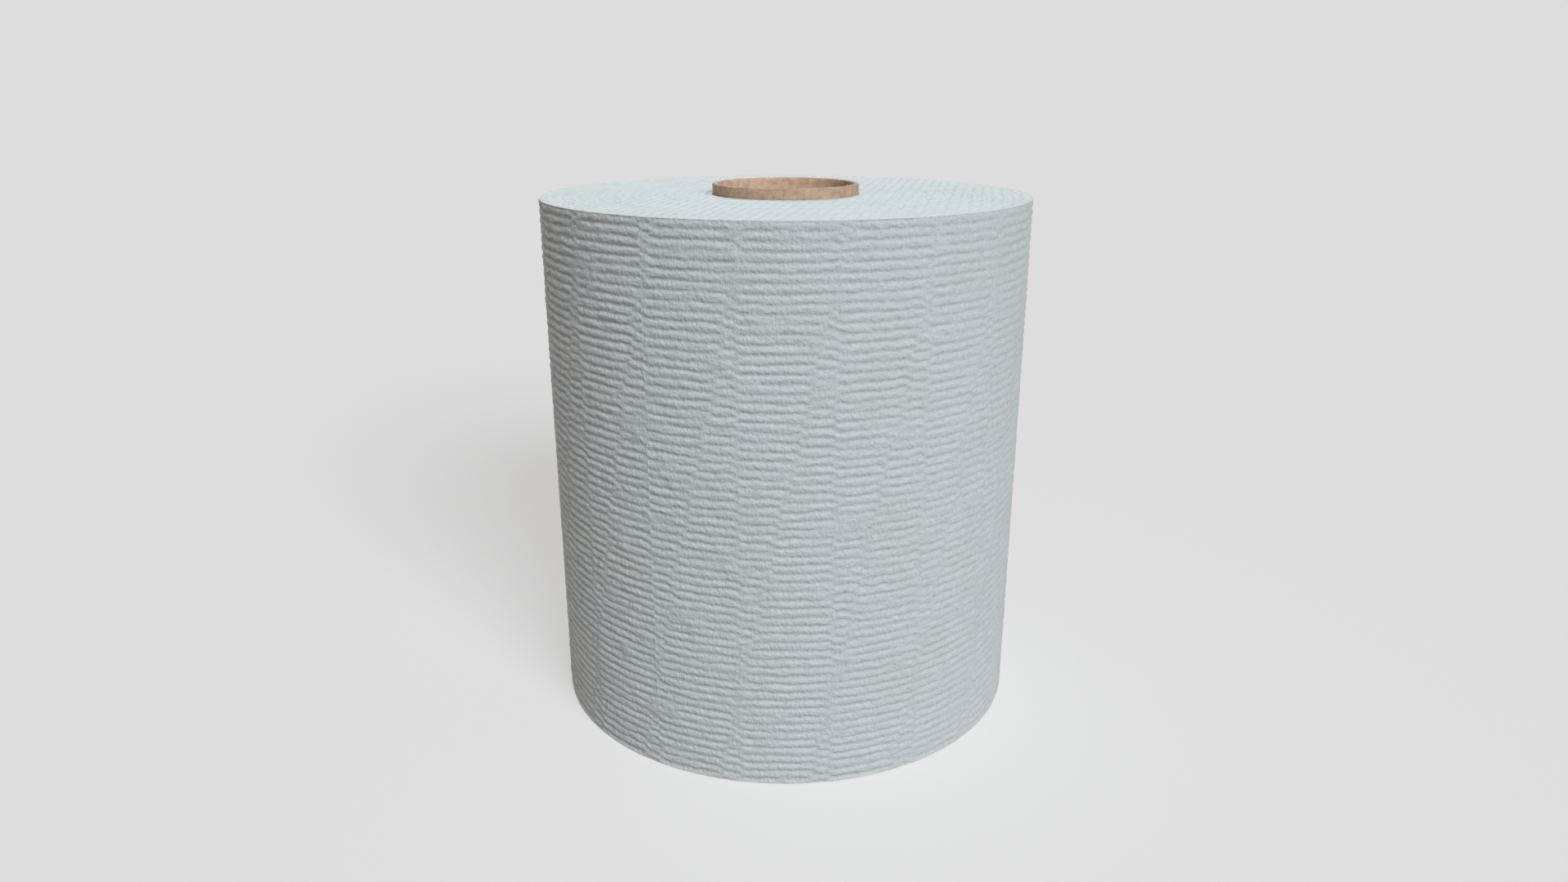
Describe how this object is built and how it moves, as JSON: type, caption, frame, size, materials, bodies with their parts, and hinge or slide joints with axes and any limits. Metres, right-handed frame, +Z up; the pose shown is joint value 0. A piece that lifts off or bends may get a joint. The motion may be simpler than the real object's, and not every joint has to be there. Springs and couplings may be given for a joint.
{
  "type": "toilet paper roll",
  "caption": "Full roll of creped toilet tissue wound on a cardboard core, standing on its end with the core a little proud.",
  "frame": {"origin": "middle of the lower paper end, where the roll stands", "axes": "+Z up along the core, -Y towards the viewer of the picture"},
  "size_m": [0.1062, 0.1064, 0.1163],
  "materials": {
    "tissue": "matte",
    "core_board": "matte"
  },
  "bodies": {
    "root": {"paper_roll": "tissue", "core_tube": "core_board"}
  },
  "joints": []
}
